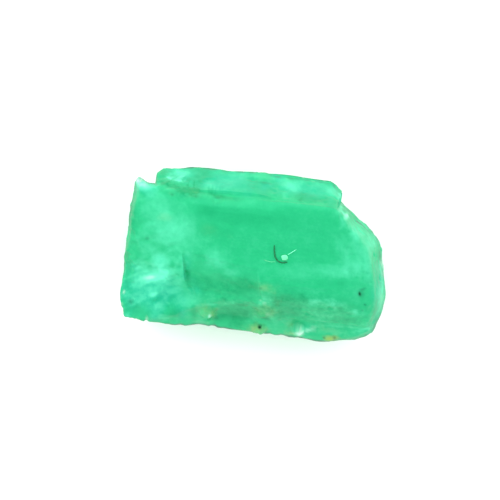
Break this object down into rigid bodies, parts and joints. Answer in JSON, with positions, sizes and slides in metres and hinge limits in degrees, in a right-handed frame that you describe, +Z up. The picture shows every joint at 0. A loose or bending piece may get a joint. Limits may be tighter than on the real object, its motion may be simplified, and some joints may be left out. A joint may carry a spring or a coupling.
{
  "type": "raw emerald crystal",
  "caption": "Raw emerald: a short six-sided crystal prism broken off at both ends, lying on a prism face, with iron-stained grains grown to its front edge.",
  "frame": {"origin": "under the middle of the crystal's box, on the level of the prism face that it rests on", "axes": "+X along the crystal's long axis (its growth axis) towards the rounded broken end, +Y towards the back prism face with the notch, +Z up from the face that it rests on"},
  "size_m": [0.01, 0.006, 0.0044],
  "materials": {
    "raw_emerald": "satin"
  },
  "bodies": {
    "root": {"emerald_crystal": "raw_emerald"}
  },
  "joints": []
}
